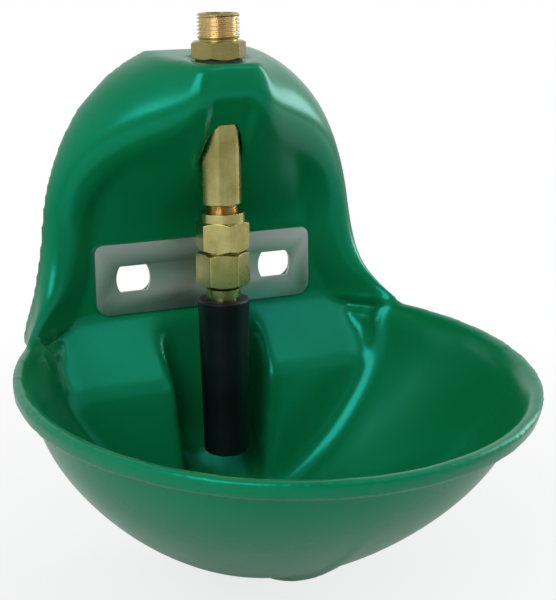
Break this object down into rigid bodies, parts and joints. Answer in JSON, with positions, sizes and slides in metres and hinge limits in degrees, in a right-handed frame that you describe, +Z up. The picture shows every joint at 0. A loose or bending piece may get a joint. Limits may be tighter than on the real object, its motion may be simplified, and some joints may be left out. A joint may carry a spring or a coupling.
{
  "type": "livestock drinking bowl",
  "caption": "Wall-hung moulded drinking bowl with a hood, steel mounting plate and a brass tube valve that the animal pushes to let water in.",
  "frame": {"origin": "on the wall plane, halfway between the centres of the two bolt slots", "axes": "+X to the right seen from the front, +Y into the wall, +Z up along the valve"},
  "size_m": [0.2428, 0.2298, 0.2761],
  "materials": {
    "green_plastic": "glossy moulded",
    "plate_steel": "satin",
    "brass": "turned and drawn, slightly dull",
    "inner_steel": "plain",
    "inner_plastic": "plain",
    "gasket_fibre": "pressed fibre",
    "black_rubber": "smooth"
  },
  "bodies": {
    "bowl": {"bowl_shell": "green_plastic", "wall_plate": "plate_steel", "inlet_nipple": "brass", "nipple_gasket": "gasket_fibre", "body_gasket": "gasket_fibre", "valve_body": "brass", "inlet_strainer": "inner_steel", "flow_restrictor": "inner_plastic", "spring_keeper": "brass", "valve_spring": "inner_steel", "valve_seat": "brass", "neck_seal": "black_rubber", "seat_ring_seal": "black_rubber", "seat_housing": "brass", "union_seal": "black_rubber", "union_nut": "brass"},
    "bearing": {"rocker_bearing": "inner_plastic"},
    "tube": {"rocker_spigot": "brass", "rubber_tube": "black_rubber"},
    "tappet": {"valve_tappet": "brass", "tappet_washer": "black_rubber"}
  },
  "joints": [
    {"name": "tube_fore_aft", "type": "hinge", "parent": "bowl", "child": "bearing", "pos_m": [0, -0.0321, 0.006], "axis": [1, 0, 0], "range_deg": [-6, 6], "stiffness_Nm_per_rad": 2},
    {"name": "tube_sideways", "type": "hinge", "parent": "bearing", "child": "tube", "pos_m": [0, -0.0321, 0.006], "axis": [0, 1, 0], "range_deg": [-5, 5], "stiffness_Nm_per_rad": 2},
    {"name": "tappet_lift", "type": "slide", "parent": "bowl", "child": "tappet", "axis": [0, 0, 1], "range_m": [0, 0.0015], "stiffness_N_per_m": 800, "springref_m": -0.003, "deforming": ["valve_spring"]}
  ]
}
